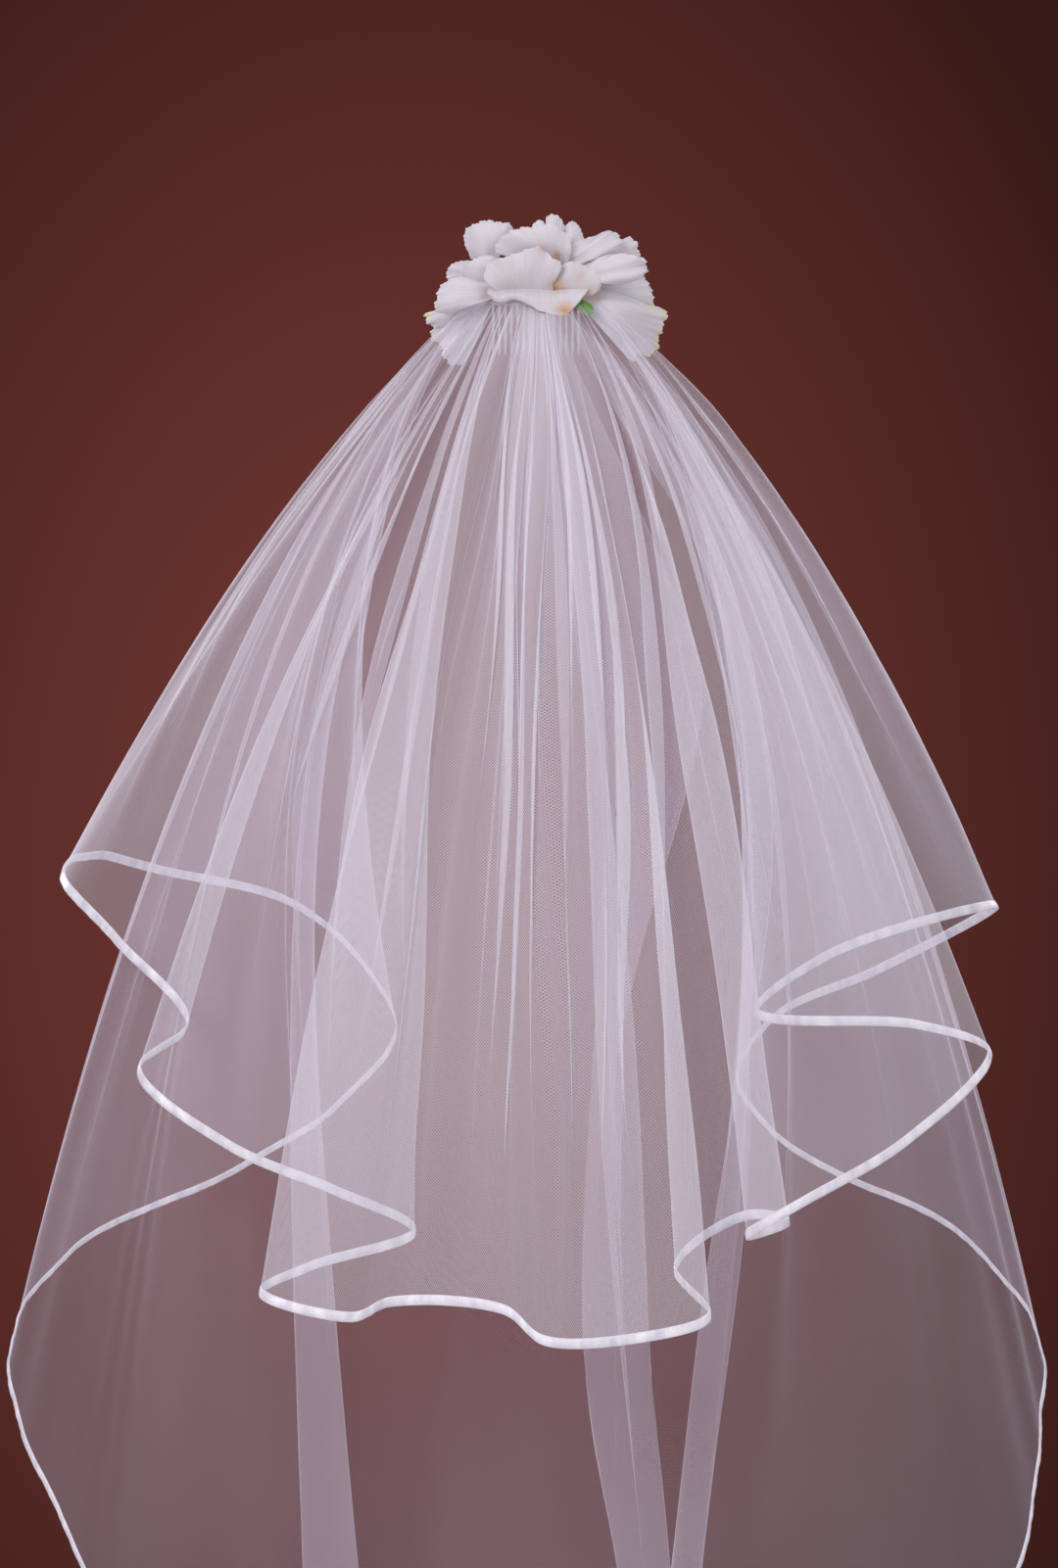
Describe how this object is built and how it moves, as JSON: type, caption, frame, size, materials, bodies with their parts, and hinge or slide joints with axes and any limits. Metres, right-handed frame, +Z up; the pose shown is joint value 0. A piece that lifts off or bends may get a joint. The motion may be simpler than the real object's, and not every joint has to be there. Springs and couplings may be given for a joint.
{
  "type": "bridal veil",
  "caption": "Two-tier tulle bridal veil with satin edging, gathered on a hair comb under a spray of silk petals, hanging open down the back in deep flared folds.",
  "frame": {"origin": "middle of the comb's spine, where the veil is held in the hair", "axes": "+Z up, +Y towards the wearer's front, +X to the right as seen from behind; the veil's back faces -Y"},
  "size_m": [0.8053, 0.5096, 1.2274],
  "materials": {
    "tulle": "sheer net",
    "satin": "satin",
    "silk": "matte silk",
    "calyx": "matte",
    "comb": "clear gloss",
    "felt": "felt"
  },
  "bodies": {
    "root": {"upper_tier": "tulle", "lower_tier": "tulle", "upper_edging": "satin", "lower_edging": "satin", "comb": "comb", "flower_base": "felt", "petal_top_left": "silk", "petal_tip_left": "silk", "petal_tip_right": "silk", "petal_upper_centre": "silk", "petal_centre": "silk", "petal_upper_right": "silk", "petal_outer_right": "silk", "petal_ruffle_right": "silk", "petal_heart_right": "silk", "petal_tip_right_low": "silk", "petal_lower_right": "silk", "petal_left_high": "silk", "petal_left_mid": "silk", "petal_left_side": "silk", "petal_lower_left": "silk", "petal_left_bottom": "silk", "petal_folded": "silk", "calyx": "calyx"}
  },
  "joints": []
}
